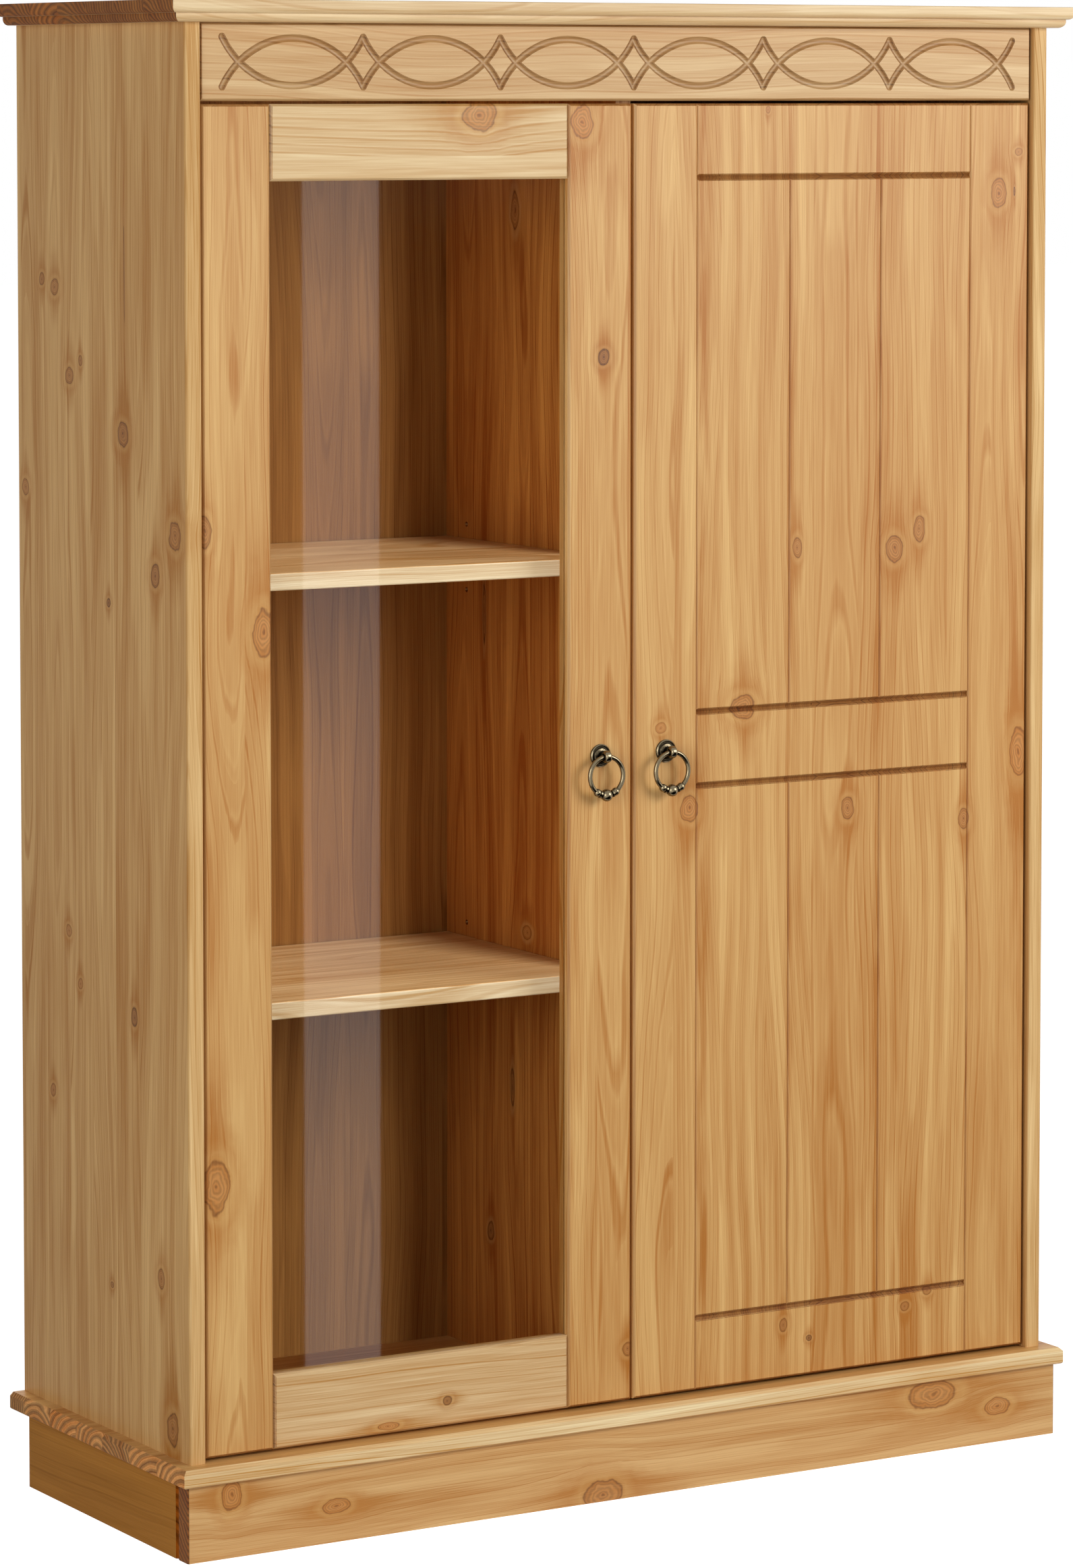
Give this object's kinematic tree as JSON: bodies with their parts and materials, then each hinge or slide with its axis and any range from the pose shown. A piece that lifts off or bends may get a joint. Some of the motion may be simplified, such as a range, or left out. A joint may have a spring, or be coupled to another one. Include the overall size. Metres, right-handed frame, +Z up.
{
  "type": "highboard",
  "caption": "Tall free-standing pine cupboard with a glazed door beside a grooved solid door, carved frieze, moulded top, plinth, inner shelves and hanging ring pulls.",
  "frame": {"origin": "on the floor, below the middle of the overall box", "axes": "+Z up, +X to the right of someone facing the doors, -Y out of the front"},
  "size_m": [0.98, 0.361, 1.4],
  "materials": {
    "pine": "honey-coloured wax",
    "back_veneer": "matt veneered sheet",
    "beech": "raw",
    "glass": "clear, polished",
    "antique_brass": "dark patina, rubbed bright on the raised parts",
    "zinc_steel": "zinc plated",
    "catch_plastic": "brown, matt"
  },
  "bodies": {
    "carcass": {"base_board": "pine", "carcass_dowels": "beech", "centre_partition": "pine", "frieze_board": "pine", "frieze_glue_blocks": "pine", "left_back_nails": "zinc_steel", "left_back_panel": "back_veneer", "left_catch_screws": "zinc_steel", "left_hinge_arms": "zinc_steel", "left_hinge_plate_screws": "zinc_steel", "left_hinge_plates": "zinc_steel", "left_lower_shelf": "pine", "left_magnet_catch": "catch_plastic", "left_side_panel": "pine", "left_upper_shelf": "pine", "plinth_back": "pine", "plinth_block_screws": "zinc_steel", "plinth_corner_blocks": "pine", "plinth_front": "pine", "plinth_left": "pine", "plinth_right": "pine", "right_back_nails": "zinc_steel", "right_back_panel": "back_veneer", "right_catch_screws": "zinc_steel", "right_hinge_arms": "zinc_steel", "right_hinge_plate_screws": "zinc_steel", "right_hinge_plates": "zinc_steel", "right_lower_shelf": "pine", "right_magnet_catch": "catch_plastic", "right_side_panel": "pine", "right_upper_shelf": "pine", "shelf_support_pins": "zinc_steel", "top_board": "pine"},
    "left_door": {"left_door_bottom_glass_bead": "pine", "left_door_bottom_rail": "pine", "left_door_dowels": "beech", "left_door_glass": "glass", "left_door_hinge_glass_bead": "pine", "left_door_hinge_stile": "pine", "left_door_lock_glass_bead": "pine", "left_door_lock_stile": "pine", "left_door_top_glass_bead": "pine", "left_door_top_rail": "pine", "left_hinge_cups": "zinc_steel", "left_hinge_pins": "zinc_steel", "left_hinge_cup_screws": "zinc_steel", "left_strike_plate": "zinc_steel", "left_pull_rosette": "antique_brass", "left_pull_eye": "antique_brass", "left_pull_screw": "zinc_steel"},
    "right_door": {"right_door_panel": "pine", "right_hinge_cups": "zinc_steel", "right_hinge_pins": "zinc_steel", "right_hinge_cup_screws": "zinc_steel", "right_strike_plate": "zinc_steel", "right_pull_rosette": "antique_brass", "right_pull_eye": "antique_brass", "right_pull_screw": "zinc_steel"},
    "left_ring": {"left_pull_ring": "antique_brass"},
    "right_ring": {"right_pull_ring": "antique_brass"}
  },
  "joints": [
    {"name": "left_door_hinge", "type": "hinge", "parent": "carcass", "child": "left_door", "pos_m": [-0.429, -0.1485, 0.6982], "axis": [0, 0, -1], "range_deg": [0, 100]},
    {"name": "right_door_hinge", "type": "hinge", "parent": "carcass", "child": "right_door", "pos_m": [0.429, -0.1485, 0.6982], "axis": [0, 0, 1], "range_deg": [0, 100]},
    {"name": "left_ring_swing", "type": "hinge", "parent": "left_door", "child": "left_ring", "pos_m": [-0.036, -0.17, 0.7012], "axis": [-1, 0, 0], "range_deg": [-7, 180]},
    {"name": "right_ring_swing", "type": "hinge", "parent": "right_door", "child": "right_ring", "pos_m": [0.036, -0.17, 0.7012], "axis": [-1, 0, 0], "range_deg": [-7, 180]}
  ]
}
